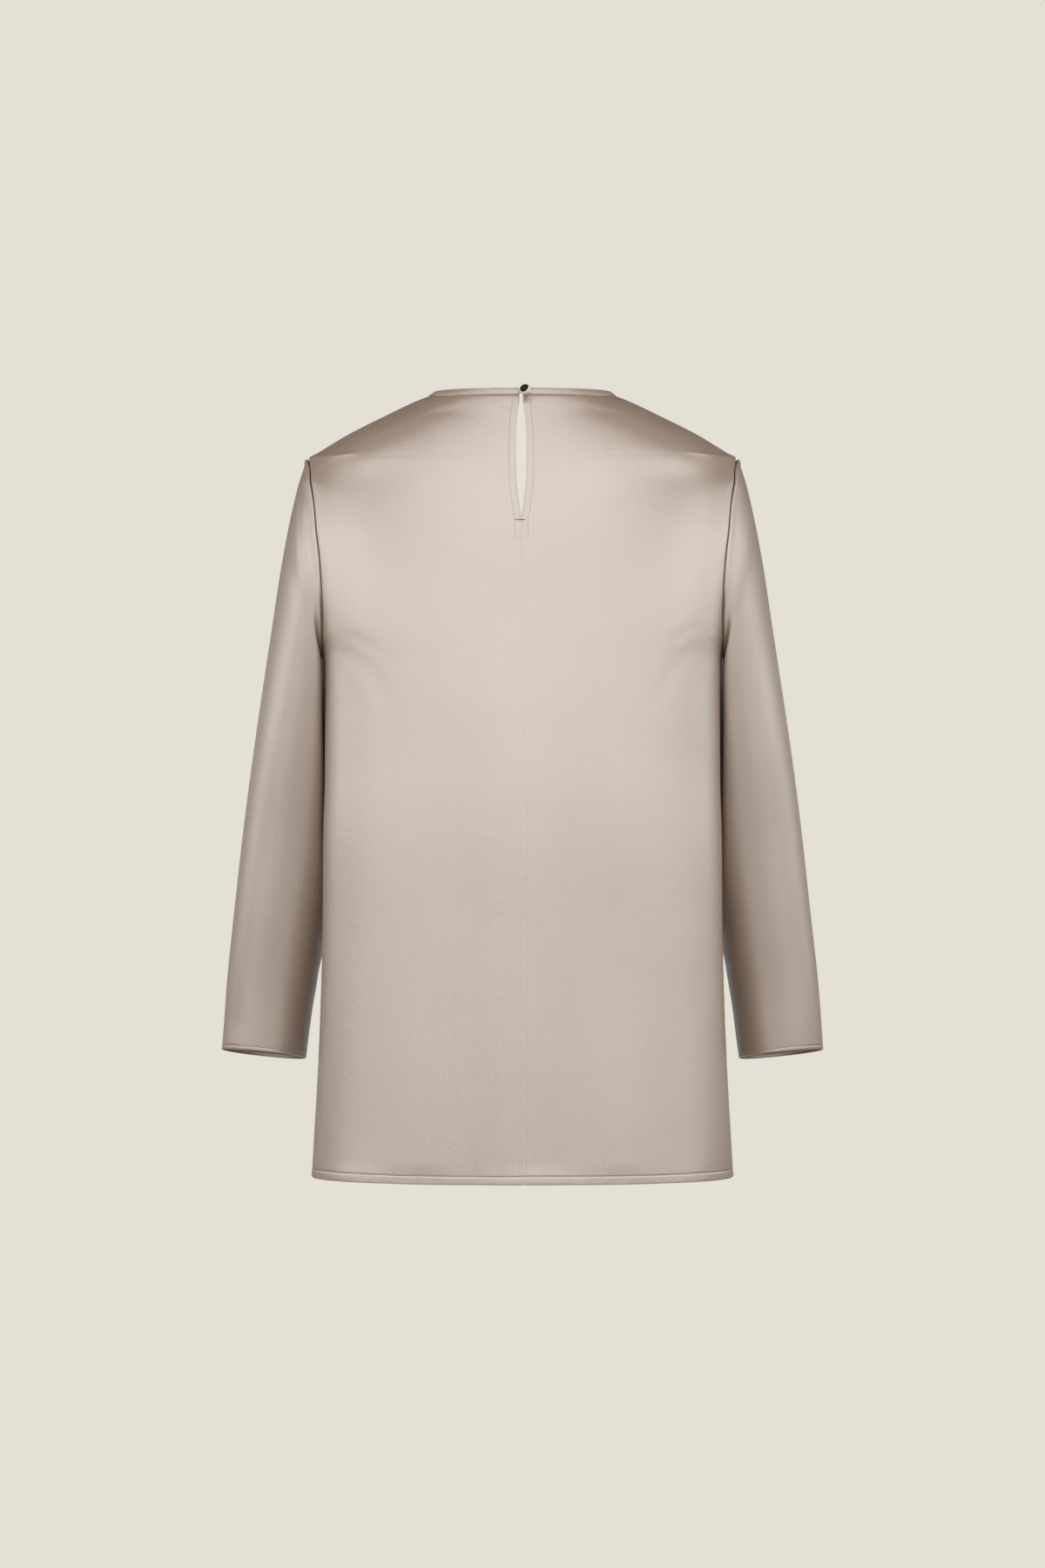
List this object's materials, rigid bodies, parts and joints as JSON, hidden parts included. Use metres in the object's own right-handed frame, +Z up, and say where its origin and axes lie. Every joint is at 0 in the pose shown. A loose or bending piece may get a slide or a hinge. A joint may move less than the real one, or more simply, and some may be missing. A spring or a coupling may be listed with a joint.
{
  "type": "blouse",
  "caption": "Long-sleeved satin blouse in its worn, hollow form, with set-in sleeves, a bound round neck and a centre back keyhole closed by a loop and a button.",
  "frame": {"origin": "midpoint between the two high points of the shoulders, at the neck edge, where the wearer holds the blouse up", "axes": "+Z up, +Y out of the wearer's back, +X to the wearer's left"},
  "size_m": [0.576, 0.2614, 0.7393],
  "materials": {
    "satin": "satin",
    "satin_trim": "satin",
    "button_rim": "polished",
    "button_face": "polished"
  },
  "bodies": {
    "root": {"front": "satin", "back_left": "satin", "back_right": "satin", "sleeve_left": "satin", "sleeve_right": "satin", "neck_binding": "satin_trim", "button_rim": "button_rim", "button_face": "button_face", "button_loop": "satin_trim"}
  },
  "joints": []
}
